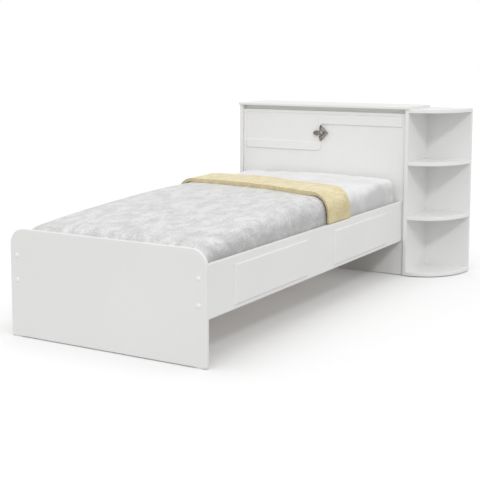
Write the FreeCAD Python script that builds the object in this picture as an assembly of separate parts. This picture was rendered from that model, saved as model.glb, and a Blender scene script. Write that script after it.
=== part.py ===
"""Single bed with a chest headboard, a corner shelf tower and its bedding.

Bed frame used while drawing: X across the bed, Y from the foot end to the head end, Z up from the
floor, with x = 0 on the bed's middle and y = 0 on the front face of the footboard. Every piece is
moved at the end so that the origin is the bottom centre of the whole object's box. Millimetres.
"""
import FreeCAD, Part
import math
import os
from FreeCAD import Vector

# ---- boards ----
board = 18.0                 # thickness of the structural boards
board_round = 2.5            # rounded edges of the footboard and the rails
board_bevel = 1.5            # bevelled edges of the corner shelves and the footboard's back
panel_round = 1.2            # slight easing of the other exposed board edges
glide_height = 4.0           # plastic pads under everything that stands on the floor
glide_length = 36.0
glide_width = 14.0
glide_inset = 32.0           # from a panel's end to the middle of its glide

# ---- footboard ----
foot_width = 950.0
foot_height = 450.0
foot_corner_radius = 66.0

# ---- side rails and their raised plates ----
rail_length = 1900.0
rail_height = 208.0
rail_bottom = 185.0          # from the floor to the underside of a rail
rail_inset = 2.0             # the footboard stands proud of a rail's outer face by this much
plate_length = 605.0
plate_height = 157.0
plate_thickness = 6.0
plate_round = 3.5
plate_rise = 19.0            # from the rail's underside to the plate's lower edge
plate_foot_margin = 193.0    # from the footboard to the first plate
plate_gap = 280.0            # between the two plates of a rail

# ---- corner posts and the bolts that pull the rails to the end boards ----
post_width = 30.0
post_depth = 42.0
post_bottom_gap = 12.0       # from the rail's underside to the post's lower end
bolt_radius = 3.0
bolt_length = 48.0
bolt_head_radius = 6.0
bolt_head_height = 4.5
bolt_edge = 53.0             # from the rail's upper and lower edges to its bolts
bolt_sink = 1.0              # the bolt's head lies this far below the board's face
nut_radius = 5.0
nut_length = 20.0
nut_depth = 24.0             # from the end board to the barrel nut's axis
hole_clearance = 0.1         # on the radius of a drilled hole round its bolt or nut
cap_radius = 10.0
cap_rim = 1.2                # straight edge of a cap
cap_dome = 3.5               # full height of a cap over the board's face
cap_sides = 16
fastener_sides = 6           # screws, bolts and nuts inside the boards are plain prisms

# ---- slatted base ----
deck_height = 360.0          # top of the slats
slat_count = 12
slat_width = 80.0
slat_thickness = 18.0
slat_end_gap = 4.0           # from a slat's end to the rail
slat_margin = 20.0           # from a post to the nearest slat
ledger_width = 25.0
ledger_height = 30.0
beam_width = 30.0
beam_height = 50.0
leg_side = 42.0
leg_count = 2

# ---- wood screws and loose tenons ----
screw_radius = 1.9
screw_head_radius = 3.8
screw_head_depth = 2.6
post_screw_length = 41.0
ledger_screw_length = 36.0
ledger_screw_count = 3
tenon_thickness = 6.0
tenon_width = 24.0
tenon_length = 28.0
tenon_depth = 17.0           # how much of a tenon is in the edge of the board it holds
mortise_gap = 0.1            # round a tenon
mortise_end_gap = 1.0        # at each end of a tenon
tenon_edge = 30.0            # from a board's end to the middle of the nearest tenon

# ---- chest headboard ----
head_margin = 27.0           # the chest reaches beyond the footboard's ends by this much
head_depth = 305.0
side_height = 872.0          # top of the side panels
front_setback = 12.0         # the front panels lie this far behind the side panels' front edges
panel_side_gap = 1.0
finger_gap = 23.0            # open slot between the lid and the upper front panel
panel_joint = 378.0          # height of the joint between the two front panels
panel_joint_gap = 2.0
groove_inset = 17.0          # from the upper panel's top and sides
groove_rise = 49.0           # from the upper panel's lower edge
groove_width = 4.0
groove_depth = 2.2
stretcher_height = 80.0
chest_floor_height = 420.0   # underside of the chest's floor
back_rail_height = 80.0

# ---- lid and its hinges ----
lid_thickness = 12.0
lid_front_overhang = 8.0
lid_side_overhang = 4.0
lid_round = 1.5
hinge_count = 2
hinge_length = 60.0
hinge_edge = 150.0           # from a side panel to the middle of the outer hinges
knuckle_count = 3
knuckle_radius = 3.6
knuckle_gap = 0.3            # between neighbouring knuckles, and round them in the other leaf
knuckle_standoff = 0.3       # from the back panel's face to the knuckles
pin_radius = 1.7
pin_clearance = 0.05
leaf_thickness = 1.4
leaf_drop = 26.0             # height of the leaf on the back panel
leaf_edge_gap = 1.2          # from the leaf on the lid to the lid's upper face
hinge_screw_radius = 1.4
hinge_screw_head = 2.6
hinge_screw_length = 14.0
hinge_screw_inset = 12.0     # from a leaf's end to its screws

# ---- raised band on the upper front panel ----
band_thickness = 6.0
band_height = 49.0
band_right_drop = 70.0       # from the panel's top to the lower edge of the right arm
band_left_drop = 214.0       # and of the left arm
band_web_left = -17.0        # the upright part between the two arms
band_web_right = 1.0
band_corner_radius = 28.0
band_inner_radius = 6.0
band_bevel = 2.5

# ---- cast ornament over the band's upright part ----
ornament_reach = 44.0        # from its middle to each of its four tips
ornament_thickness = 5.0
ornament_standoff = 3.0      # from the band's face to the back of the casting
ornament_boss_radius = 7.5
ornament_dome = 3.0          # rise of the boss in front of the leaves
petal_widths = (20.0, 10.0, 26.0, 14.0)   # right, top, left and bottom leaf
petal_belly = 0.55           # where a leaf is widest, as a share of its length
bar_width = 4.0
bar_depth = 3.5
ornament_screw_radius = 2.0
ornament_screw_head = 4.5
ornament_screw_head_height = 2.5
ornament_screw_grip = 4.5    # how far the screw reaches into the casting

# ---- corner shelf tower ----
corner_width = 240.0
oval_front_radius = 220.0    # of the shelf's edge next to the side panel
lower_bay = 276.0            # clear height over the lowest shelf
middle_bay = 266.0           # clear height over the second shelf

# ---- bedding ----
mattress_side_gap = 10.0     # from the mattress to the rails
mattress_foot_gap = 11.0
mattress_head_gap = 9.0
mattress_thickness = 150.0
mattress_crown = 12.0        # the middle of the top over its shoulders
mattress_shoulder = 70.0
mattress_lower_round = 16.0
mattress_side_draw = 4.0     # how far the sides are drawn in at mid height
mattress_end_round = 55.0
mattress_foot_fall = 42.0    # the tucked foot end is pressed down by this much
mattress_fall_length = 620.0
soft_gap = 0.5               # between two soft pieces, and under the mattress
blanket_thickness = 6.5
blanket_tuck = 28.0          # from the slats up to the lowest edge of the tucked blanket
cuff_thickness = 12.0
cuff_foot_edge = 1112.0      # on the bed's middle
cuff_head_edge = 1352.0
cuff_skew = 0.13             # the turned-down edge runs this much towards the head per mm to the left

# ---- derived places ----
rail_outer = foot_width / 2 - rail_inset
rail_inner = rail_outer - board
rail_top = rail_bottom + rail_height
panel_face = board + rail_length
head_front = panel_face - front_setback
head_back = head_front + head_depth
side_outer = foot_width / 2 + head_margin
side_inner = side_outer - board
back_face = head_back - board
front_back = panel_face + board
panel_half = side_inner - panel_side_gap
upper_panel_top = side_height - finger_gap
upper_panel_bottom = panel_joint + panel_joint_gap / 2
lower_panel_top = panel_joint - panel_joint_gap / 2
lid_top = side_height + lid_thickness
bolt_x = rail_inner - post_width / 2
bolt_heights = (rail_bottom + bolt_edge, rail_top - bolt_edge)
slat_bottom = deck_height - slat_thickness
hinge_y = head_back + knuckle_standoff + knuckle_radius
band_face = panel_face - band_thickness
band_low = upper_panel_top - band_left_drop
band_high = upper_panel_top - band_right_drop
corner_right = side_outer + corner_width
shelf_depth = back_face - head_front
origin_shift = Vector(
    -(corner_right - side_outer - lid_side_overhang) / 2,
    -(hinge_y + knuckle_radius - cap_dome) / 2,
    0,
)


def block(x0, x1, y0, y1, z0, z1):
    """Return a plain board between two corners."""
    return Part.makeBox(x1 - x0, y1 - y0, z1 - z0, Vector(x0, y0, z0))


def rod(radius, start, direction, length):
    """Return a round bar, or the tool for a round hole."""
    return Part.makeCylinder(radius, length, start, direction)


def round_edges(solid, radius, wanted):
    """Round the edges whose box passes the test."""
    return solid.makeFillet(radius, [e for e in solid.Edges if wanted(e.BoundBox)])


def bevel_edges(solid, size, wanted):
    """Bevel the edges whose box passes the test."""
    return solid.makeChamfer(size, [e for e in solid.Edges if wanted(e.BoundBox)])


def at(value, target):
    return abs(value - target) < 0.01


def union(shapes):
    return shapes[0].multiFuse(shapes[1:]).removeSplitter()


def drilled(solid, tools):
    return solid.cut(Part.makeCompound(tools)) if tools else solid


# ---- fasteners ----
def stepped(profile, start, direction, sides=fastener_sides):
    """Prism of several widths along an axis, from (radius, distance) pairs."""
    turn = [2 * math.pi * (i + 0.5) / sides for i in range(sides + 1)]
    rings = []
    for radius, distance in profile:
        rings.append(Part.makePolygon(
            [Vector(radius * math.cos(t), radius * math.sin(t), distance) for t in turn]))
    body = Part.makeLoft(rings, True, True)
    body.Placement = FreeCAD.Placement(start, FreeCAD.Rotation(Vector(0, 0, 1), direction))
    return body


def wood_screw(point, direction, length, radius=screw_radius, head=screw_head_radius):
    """Countersunk screw with its head flush at the point, driven along the direction."""
    sink = screw_head_depth * head / screw_head_radius
    return stepped([(head, 0), (radius, sink), (radius, length)], point, direction)


def connector_bolt(point, direction, grow=0.0):
    """Bolt whose head is sunk below the face at the point, or its hole when grown."""
    neck = bolt_sink + bolt_head_height
    head_start = 0 if grow else bolt_sink
    head = stepped([(bolt_head_radius + grow, head_start), (bolt_head_radius + grow, neck)],
                   point, direction)
    shank = stepped([(bolt_radius + grow, neck), (bolt_radius + grow, neck + bolt_length + grow)],
                    point, direction)
    return union([head, shank])


def bolt_stations(face_y, toward):
    """Head position and direction of the four bolts of one end board."""
    return [
        (Vector(side * bolt_x, face_y, z), Vector(0, toward, 0))
        for side in (-1, 1) for z in bolt_heights
    ]


foot_bolts_at = bolt_stations(0, 1)
head_bolts_at = bolt_stations(front_back, -1)
all_bolt_holes = [connector_bolt(p, d, hole_clearance) for p, d in foot_bolts_at + head_bolts_at]


def barrel_nut_place(bolt_point, direction):
    """Inner end and axis of the barrel nut that takes the bolt."""
    side = math.copysign(1, bolt_point.x)
    y = bolt_point.y + direction.y * (board + nut_depth)
    inner = Vector(side * (rail_inner - post_width), y, bolt_point.z)
    return inner, Vector(side, 0, 0)


def barrel_nuts(stations):
    """Barrel nuts set into the posts, each with the cross hole for its bolt."""
    nuts = []
    for point, direction in stations:
        inner, axis = barrel_nut_place(point, direction)
        start = (post_width - nut_length) / 2
        nut = stepped([(nut_radius, start), (nut_radius, start + nut_length)], inner, axis)
        nuts.append(drilled(nut, all_bolt_holes))
    return nuts


def nut_holes(stations):
    holes = []
    for point, direction in stations:
        inner, axis = barrel_nut_place(point, direction)
        radius, depth = nut_radius + hole_clearance, (post_width + nut_length) / 2
        holes.append(stepped([(radius, 0), (radius, depth)], inner, axis))
    return holes


def tenon(joint, gap=0.0, end_gap=0.0):
    """Loose tenon across a joint plane, or its mortise when the gaps are given.

    A joint is a point, the direction into the board held by its edge, and that edge's direction.
    """
    point, into, along = joint
    across = into.cross(along)
    sideways = along * (tenon_width / 2 + gap) + across * (tenon_thickness / 2 + gap)
    start = point - into * (tenon_length - tenon_depth + end_gap) - sideways
    end = point + into * (tenon_depth + end_gap) + sideways
    (x0, x1), (y0, y1), (z0, z1) = (sorted(pair) for pair in zip(start, end))
    return block(x0, x1, y0, y1, z0, z1)


def mortise(joint):
    return tenon(joint, mortise_gap, mortise_end_gap)


# ---- footboard ----
def footboard_outline():
    """Upright board outline with two rounded upper corners."""
    half, top, r = foot_width / 2, foot_height, foot_corner_radius
    low = glide_height
    diagonal = r * (1 - math.sqrt(0.5))
    right = Part.Arc(Vector(half, 0, top - r), Vector(half - diagonal, 0, top - diagonal),
                     Vector(half - r, 0, top))
    left = Part.Arc(Vector(-half + r, 0, top), Vector(-half + diagonal, 0, top - diagonal),
                    Vector(-half, 0, top - r))
    edges = [
        Part.makeLine(Vector(-half, 0, low), Vector(half, 0, low)),
        Part.makeLine(Vector(half, 0, low), Vector(half, 0, top - r)),
        right.toShape(),
        Part.makeLine(Vector(half - r, 0, top), Vector(-half + r, 0, top)),
        left.toShape(),
        Part.makeLine(Vector(-half, 0, top - r), Vector(-half, 0, low)),
    ]
    return Part.Wire(edges)


def footboard():
    slab = Part.Face(footboard_outline()).extrude(Vector(0, board, 0))
    slab = round_edges(slab, board_round, lambda b: at(b.YMax, 0) and b.ZMax > board)
    slab = bevel_edges(slab, board_bevel, lambda b: at(b.YMin, board) and b.ZMax > board)
    return drilled(slab, all_bolt_holes)


def bolt_caps():
    """Low domed caps over the bolts in the footboard's front."""
    shoulder = cap_rim + (cap_dome - cap_rim) * 0.6
    profile = [(cap_radius, 0), (cap_radius, cap_rim), (cap_radius * 0.78, shoulder),
               (cap_radius * 0.4, cap_dome)]
    return [stepped(profile, point, -direction, cap_sides) for point, direction in foot_bolts_at]


# ---- rails ----
def post_ends():
    """First and last y of the posts at the foot end and at the head end."""
    return ((board, board + post_depth), (panel_face - post_depth, panel_face))


def post_screw_stations(side):
    """Screws through the posts into the rail, above and below the bolts."""
    middle = (bolt_heights[0] + bolt_heights[1]) / 2
    heights = (middle - bolt_edge / 2, middle + bolt_edge / 2)
    return [
        (Vector(side * (rail_inner - post_width), (y0 + y1) / 2, z), Vector(side, 0, 0))
        for y0, y1 in post_ends() for z in heights
    ]


def ledger_span():
    return board + post_depth, panel_face - post_depth


def ledger_screw_stations(side):
    y0, y1 = ledger_span()
    pitch = (y1 - y0) / ledger_screw_count
    z = slat_bottom - ledger_height / 2
    return [
        (Vector(side * (rail_inner - ledger_width), y0 + pitch * (i + 0.5), z), Vector(side, 0, 0))
        for i in range(ledger_screw_count)
    ]


def rail_screws(side):
    posts = [wood_screw(p, d, post_screw_length) for p, d in post_screw_stations(side)]
    ledgers = [wood_screw(p, d, ledger_screw_length) for p, d in ledger_screw_stations(side)]
    return posts, ledgers


def side_rail(side):
    x0, x1 = sorted((side * rail_inner, side * rail_outer))
    rail = block(x0, x1, board, panel_face, rail_bottom, rail_top)
    rail = round_edges(rail, board_round, lambda b: b.YLength > rail_length / 2)
    posts, ledgers = rail_screws(side)
    return drilled(rail, posts + ledgers)


def rail_plate(side, order):
    """Raised plate on a rail's outer face; order 0 is nearest the footboard."""
    x0, x1 = sorted((side * rail_outer, side * (rail_outer + plate_thickness)))
    y0 = board + plate_foot_margin + order * (plate_length + plate_gap)
    z0 = rail_bottom + plate_rise
    plate = block(x0, x1, y0, y0 + plate_length, z0, z0 + plate_height)
    face = side * (rail_outer + plate_thickness)
    return round_edges(plate, plate_round, lambda b: at(b.XMin, face) and at(b.XMax, face))


def posts(side):
    """The two corner posts of one rail, drilled for bolts, nuts and screws."""
    made = []
    x0, x1 = sorted((side * (rail_inner - post_width), side * rail_inner))
    holes = all_bolt_holes + nut_holes(foot_bolts_at + head_bolts_at) + rail_screws(side)[0]
    for y0, y1 in post_ends():
        post = block(x0, x1, y0, y1, rail_bottom + post_bottom_gap, deck_height)
        made.append(drilled(post, holes))
    return made


def ledger(side):
    y0, y1 = ledger_span()
    x0, x1 = sorted((side * (rail_inner - ledger_width), side * rail_inner))
    bar = block(x0, x1, y0, y1, slat_bottom - ledger_height, slat_bottom)
    return drilled(bar, rail_screws(side)[1])


# ---- slatted base ----
def slat(index):
    first = board + post_depth + slat_margin
    last = panel_face - post_depth - slat_margin - slat_width
    y0 = first + (last - first) * index / (slat_count - 1)
    half = rail_inner - slat_end_gap
    return block(-half, half, y0, y0 + slat_width, slat_bottom, deck_height)


def centre_beam():
    half = beam_width / 2
    return block(-half, half, board, panel_face, slat_bottom - beam_height, slat_bottom)


def leg_places():
    return [board + rail_length * (i + 1) / (leg_count + 1) for i in range(leg_count)]


def centre_leg(index):
    half = leg_side / 2
    y = leg_places()[index]
    return block(-half, half, y - half, y + half, glide_height, slat_bottom - beam_height)


# ---- headboard ----
def shelf_tops():
    """Top faces of the four corner shelves, from the lowest up."""
    lowest = glide_height + board
    second = lowest + lower_bay + board
    third = second + middle_bay + board
    return (lowest, second, third, side_height)


def side_joints(side):
    """Tenon joints of one side panel with the boards between the two side panels."""
    x, inward = side * side_inner, Vector(-side, 0, 0)
    upright, level = Vector(0, 0, 1), Vector(0, 1, 0)
    front_y = (panel_face + front_back) / 2
    back_y = (back_face + head_back) / 2
    floor_z = chest_floor_height + board / 2
    return [
        (Vector(x, front_y, upper_panel_bottom + 2 * tenon_edge), inward, upright),
        (Vector(x, front_y, upper_panel_top - tenon_edge), inward, upright),
        (Vector(x, front_y, glide_height + tenon_edge), inward, upright),
        (Vector(x, front_y, lower_panel_top - tenon_edge), inward, upright),
        (Vector(x, front_back + board / 2, side_height - stretcher_height / 2), inward, upright),
        (Vector(x, front_back + tenon_edge, floor_z), inward, level),
        (Vector(x, back_face - tenon_edge, floor_z), inward, level),
        (Vector(x, back_y, chest_floor_height + tenon_edge), inward, upright),
        (Vector(x, back_y, side_height - 2 * tenon_edge), inward, upright),
        (Vector(x, back_y, glide_height + back_rail_height / 2), inward, upright),
    ]


def shelf_joints():
    """Tenon joints of the corner shelves with the side panel and with the corner's back panel."""
    joints = []
    for top in shelf_tops():
        z = top - board / 2
        for y in (head_front + 2 * tenon_edge, back_face - tenon_edge):
            joints.append((Vector(side_outer, y, z), Vector(1, 0, 0), Vector(0, 1, 0)))
        x = side_outer + corner_width / 2
        if at(top, side_height):
            under = Vector(x, back_face + board / 2, top - board)
            joints.append((under, Vector(0, 0, -1), Vector(1, 0, 0)))
        else:
            joints.append((Vector(x, back_face, z), Vector(0, -1, 0), Vector(1, 0, 0)))
    return joints


carcass_joints = side_joints(-1) + side_joints(1)
tower_joints = shelf_joints()
carcass_mortises = [mortise(joint) for joint in carcass_joints]
tower_mortises = [mortise(joint) for joint in tower_joints]


def head_side(side):
    x0, x1 = sorted((side * side_inner, side * side_outer))
    panel = block(x0, x1, head_front, head_back, glide_height, side_height)
    panel = round_edges(panel, panel_round, lambda b: at(b.YMax, head_front) and b.XLength < 0.01)
    return drilled(panel, carcass_mortises + (tower_mortises if side > 0 else []))


def groove_ring():
    """V-groove round the upper front panel, as the difference of two frustums."""
    half_x = panel_half - groove_inset
    low, high = upper_panel_bottom + groove_rise, upper_panel_top - groove_inset
    middle_z, half_z = (low + high) / 2, (high - low) / 2

    def rectangle(grow, y):
        x, z = half_x + grow, half_z + grow
        corners = [Vector(sx * x, y, middle_z + sz * z)
                   for sx, sz in ((-1, -1), (1, -1), (1, 1), (-1, 1), (-1, -1))]
        return Part.makePolygon(corners)

    bottom = rectangle(0, panel_face + groove_depth)
    outer = Part.makeLoft([rectangle(groove_width / 2, panel_face), bottom], True, True)
    inner = Part.makeLoft([rectangle(-groove_width / 2, panel_face), bottom], True, True)
    return outer.cut(inner)


ornament_middle = Vector(0, band_face - ornament_standoff, (band_low + band_height + band_high) / 2)
ornament_grip = front_back - ornament_middle.y + ornament_screw_grip


def ornament_screw():
    """Screw from inside the chest through the panel and the band into the casting."""
    start, inward = Vector(0, front_back, ornament_middle.z), Vector(0, -1, 0)
    thick, thin, high = ornament_screw_head, ornament_screw_radius, ornament_screw_head_height
    head = stepped([(thick, -high), (thick, 0)], start, inward)
    return union([head, stepped([(thin, 0), (thin, ornament_grip)], start, inward)])


def ornament_hole():
    radius = ornament_screw_radius + hole_clearance
    return stepped([(radius, 0), (radius, ornament_grip + hole_clearance)],
                   Vector(0, front_back, ornament_middle.z), Vector(0, -1, 0))


def upper_front_panel():
    panel = block(-panel_half, panel_half, panel_face, front_back,
                  upper_panel_bottom, upper_panel_top)
    panel = round_edges(panel, panel_round, lambda b: at(b.YMax, panel_face))
    return drilled(panel.cut(groove_ring()), carcass_mortises + [ornament_hole()])


def lower_front_panel():
    panel = block(-panel_half, panel_half, panel_face, front_back, glide_height, lower_panel_top)
    panel = round_edges(panel, panel_round, lambda b: at(b.YMax, panel_face) and b.ZMin > board)
    return drilled(panel, carcass_mortises + all_bolt_holes)


def lid_stretcher():
    bar = block(-side_inner, side_inner, front_back, front_back + board,
                side_height - stretcher_height, side_height)
    return drilled(bar, carcass_mortises)


def chest_floor():
    shelf = block(-side_inner, side_inner, front_back, back_face,
                  chest_floor_height, chest_floor_height + board)
    return drilled(shelf, carcass_mortises)


def chest_back():
    panel = block(-side_inner, side_inner, back_face, head_back, chest_floor_height, side_height)
    return drilled(panel, carcass_mortises + hinge_screws(False))


def back_rail():
    bar = block(-side_inner, side_inner, back_face, head_back,
                glide_height, glide_height + back_rail_height)
    return drilled(bar, carcass_mortises)


# ---- lid and hinges ----
def hinge_middles():
    reach = side_inner - hinge_edge
    return [-reach + 2 * reach * i / (hinge_count - 1) for i in range(hinge_count)]


def leaf_heights(on_lid):
    """Lower and upper edge of a leaf; the leaves meet at the height of the pins."""
    if on_lid:
        return side_height, lid_top - leaf_edge_gap
    return side_height - leaf_drop, side_height


def hinge_screws(on_lid):
    """Screws of every leaf on the lid, or of every leaf on the back panel."""
    z0, z1 = leaf_heights(on_lid)
    z = (z0 + z1 + (knuckle_radius if on_lid else -knuckle_radius)) / 2
    screws = []
    for middle in hinge_middles():
        for side in (-1, 1):
            x = middle + side * (hinge_length / 2 - hinge_screw_inset)
            point = Vector(x, head_back + leaf_thickness, z)
            screws.append(wood_screw(point, Vector(0, -1, 0), hinge_screw_length,
                                     hinge_screw_radius, hinge_screw_head))
    return screws


def hinge_leaves(on_lid):
    """One leaf per hinge: the lid's leaves have the middle knuckle, the back panel's the others."""
    z0, z1 = leaf_heights(on_lid)
    pitch = hinge_length / knuckle_count
    screws = hinge_screws(on_lid)
    leaves = []
    for middle in hinge_middles():
        left = middle - hinge_length / 2
        plate = block(left, left + hinge_length, head_back, head_back + leaf_thickness, z0, z1)
        barrels, notches = [], []
        for k in range(knuckle_count):
            start = left + k * pitch
            if (k % 2 == 1) == on_lid:
                barrels.append(rod(knuckle_radius,
                                   Vector(start + knuckle_gap / 2, hinge_y, side_height),
                                   Vector(1, 0, 0), pitch - knuckle_gap))
            else:
                room = knuckle_radius + knuckle_gap
                notches.append(block(start - knuckle_gap / 2, start + pitch + knuckle_gap / 2,
                                     head_back, hinge_y, side_height - room, side_height + room))
        leaf = union([drilled(plate, notches)] + barrels)
        bore = rod(pin_radius + pin_clearance, Vector(left - 1, hinge_y, side_height),
                   Vector(1, 0, 0), hinge_length + 2)
        leaves.append(drilled(leaf, [bore] + screws))
    return leaves


def hinge_pins():
    return [rod(pin_radius, Vector(middle - hinge_length / 2, hinge_y, side_height),
                Vector(1, 0, 0), hinge_length) for middle in hinge_middles()]


def lid():
    half = side_outer + lid_side_overhang
    board_top = block(-half, half, head_front - lid_front_overhang, head_back,
                      side_height, lid_top)
    front = head_front - lid_front_overhang
    board_top = round_edges(board_top, lid_round,
                            lambda b: at(b.YMax, front) and b.ZLength < 0.01
                            or b.XLength < 0.01 and b.ZLength < 0.01)
    return drilled(board_top, hinge_screws(True))


# ---- raised band and ornament ----
def arc_corner(corner, radius, toward_in, toward_out):
    """Tangent arc at a right-angled corner, between the two directions from the corner."""
    start = corner + toward_in * radius
    end = corner + toward_out * radius
    middle = corner + (toward_in + toward_out) * radius * (1 - math.sqrt(0.5))
    return start, end, Part.Arc(start, middle, end).toShape()


def s_band():
    """Raised band: a low arm on the left and a high arm on the right, joined by an upright."""
    left, right = Vector(-1, 0, 0), Vector(1, 0, 0)
    up, down = Vector(0, 0, 1), Vector(0, 0, -1)
    half = panel_half - groove_inset - groove_width / 2
    y = panel_face
    corners = [
        (Vector(-half, y, band_low), None, None, 0),
        (Vector(band_web_right, y, band_low), left, up, band_corner_radius),
        (Vector(band_web_right, y, band_high), down, right, band_inner_radius),
        (Vector(half, y, band_high), None, None, 0),
        (Vector(half, y, band_high + band_height), None, None, 0),
        (Vector(band_web_left, y, band_high + band_height), right, down, band_corner_radius),
        (Vector(band_web_left, y, band_low + band_height), up, left, band_inner_radius),
        (Vector(-half, y, band_low + band_height), None, None, 0),
    ]
    edges, previous, first = [], None, None
    for corner, toward_in, toward_out, radius in corners:
        start, end, arc = (arc_corner(corner, radius, toward_in, toward_out)
                           if radius else (corner, corner, None))
        if previous is not None:
            edges.append(Part.makeLine(previous, start))
        else:
            first = start
        if arc is not None:
            edges.append(arc)
        previous = end
    edges.append(Part.makeLine(previous, first))
    band = Part.Face(Part.Wire(edges)).extrude(Vector(0, -band_thickness, 0))
    band = bevel_edges(band, band_bevel, lambda b: at(b.YMin, band_face) and at(b.YMax, band_face))
    return drilled(band, [ornament_hole()])


def petal(angle, width):
    """Pointed leaf from the ornament's middle out to one tip."""
    root, tip = Vector(0, 0, 0), Vector(ornament_reach, 0, 0)
    belly = ornament_reach * petal_belly
    upper = Part.Arc(root, Vector(belly, 0, width / 2), tip).toShape()
    lower = Part.Arc(tip, Vector(belly, 0, -width / 2), root).toShape()
    leaf = Part.Face(Part.Wire([upper, lower])).extrude(Vector(0, -ornament_thickness, 0))
    leaf.rotate(root, Vector(0, -1, 0), angle)
    return leaf


def straight_bar(angle_a, angle_b):
    """Thin bar between the tips at two angles."""
    reach = ornament_reach - bar_width / 2
    a, b = (Vector(reach * math.cos(math.radians(t)), 0, reach * math.sin(math.radians(t)))
            for t in (angle_a, angle_b))
    along = (b - a).normalize()
    across = Vector(-along.z, 0, along.x) * bar_width / 2
    outline = Part.makePolygon([a + across, b + across, b - across, a - across, a + across])
    return Part.Face(outline).extrude(Vector(0, -bar_depth, 0))


def ornament():
    """Openwork casting: four leaves about a domed boss, and two bars from the right leaf's tip."""
    pieces = [petal(90 * i, width) for i, width in enumerate(petal_widths)]
    pieces += [straight_bar(90, 0), straight_bar(0, -90)]
    back, front = Vector(0, ornament_standoff, 0), Vector(0, -ornament_thickness, 0)
    forward = Vector(0, -1, 0)
    boss = rod(ornament_boss_radius, back, forward, ornament_standoff + ornament_thickness)
    ball = (ornament_boss_radius ** 2 + ornament_dome ** 2) / (2 * ornament_dome)
    dome = Part.makeSphere(ball, front + forward * (ornament_dome - ball))
    dome = dome.common(rod(ornament_boss_radius, front, forward, ornament_dome))
    casting = union(pieces + [boss, dome])
    casting.translate(ornament_middle)
    return drilled(casting, [ornament_hole()])


# ---- corner tower ----
def quarter_oval():
    """Front edge of a shelf: two tangent arcs from the side panel's front to the back's end."""
    tight = oval_front_radius
    wide = (shelf_depth ** 2 - 2 * shelf_depth * tight + corner_width ** 2) / (
        2 * (corner_width - tight))
    corner = Vector(side_outer, back_face, 0)
    front_middle = corner + Vector(0, tight - shelf_depth, 0)
    right_middle = corner + Vector(corner_width - wide, 0, 0)
    meet = (front_middle - right_middle).normalize()
    turn = math.atan2(-meet.y, meet.x)

    def point(middle, radius, angle):
        return middle + Vector(math.cos(angle), -math.sin(angle), 0) * radius

    quarter = math.pi / 2
    front = Part.Arc(*(point(front_middle, tight, a) for a in (quarter, (quarter + turn) / 2, turn)))
    right = Part.Arc(*(point(right_middle, wide, a) for a in (turn, turn / 2, 0)))
    return [front.toShape(), right.toShape()]


def corner_shelf(level):
    """Quarter-oval shelf; the top one also covers the corner's back panel."""
    top = shelf_tops()[level]
    back = head_back if at(top, side_height) else back_face
    front_end = Vector(side_outer, head_front, 0)
    right_end = Vector(corner_right, back_face, 0)
    corner = Vector(side_outer, back, 0)
    outline = [Part.makeLine(corner, front_end)] + quarter_oval()
    if back > back_face:
        back_right = Vector(corner_right, back, 0)
        outline += [Part.makeLine(right_end, back_right), Part.makeLine(back_right, corner)]
    else:
        outline.append(Part.makeLine(right_end, corner))
    shelf = Part.Face(Part.Wire(outline)).extrude(Vector(0, 0, board))
    shelf = bevel_edges(shelf, board_bevel, lambda b: b.ZLength < 0.01
                        and b.XLength > board and b.YLength > board)
    shelf.translate(Vector(0, 0, top - board))
    return drilled(shelf, tower_mortises)


def corner_back():
    panel = block(side_outer, corner_right, back_face, head_back,
                  glide_height, side_height - board)
    panel = round_edges(panel, panel_round, lambda b: at(b.XMin, corner_right)
                        and at(b.YMax, back_face))
    return drilled(panel, tower_mortises)


def glides():
    """Pads under the footboard, the side panels, the tower and the centre legs."""
    long, wide = glide_length / 2, glide_width / 2
    far = foot_width / 2 - glide_inset
    middle = (side_inner + side_outer) / 2
    across = [(-far, board / 2), (far, board / 2)]
    across += [(corner_right - glide_inset, (back_face + head_back) / 2)]
    across += [(0, y) for y in leg_places()]
    lengthwise = [(side * middle, y) for side in (-1, 1)
                  for y in (head_front + glide_inset, head_back - glide_inset)]
    pads = [block(x - long, x + long, y - wide, y + wide, 0, glide_height) for x, y in across]
    pads += [block(x - wide, x + wide, y - long, y + long, 0, glide_height)
             for x, y in lengthwise]
    return pads


# ---- bedding ----
mattress_bottom = deck_height + soft_gap
mattress_top = mattress_bottom + mattress_thickness
mattress_half_width = rail_inner - mattress_side_gap
mattress_foot = board + mattress_foot_gap
mattress_head = panel_face - mattress_head_gap
blanket_grow = soft_gap + blanket_thickness
cuff_inner_grow = blanket_grow + soft_gap
cuff_grow = cuff_inner_grow + cuff_thickness


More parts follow.
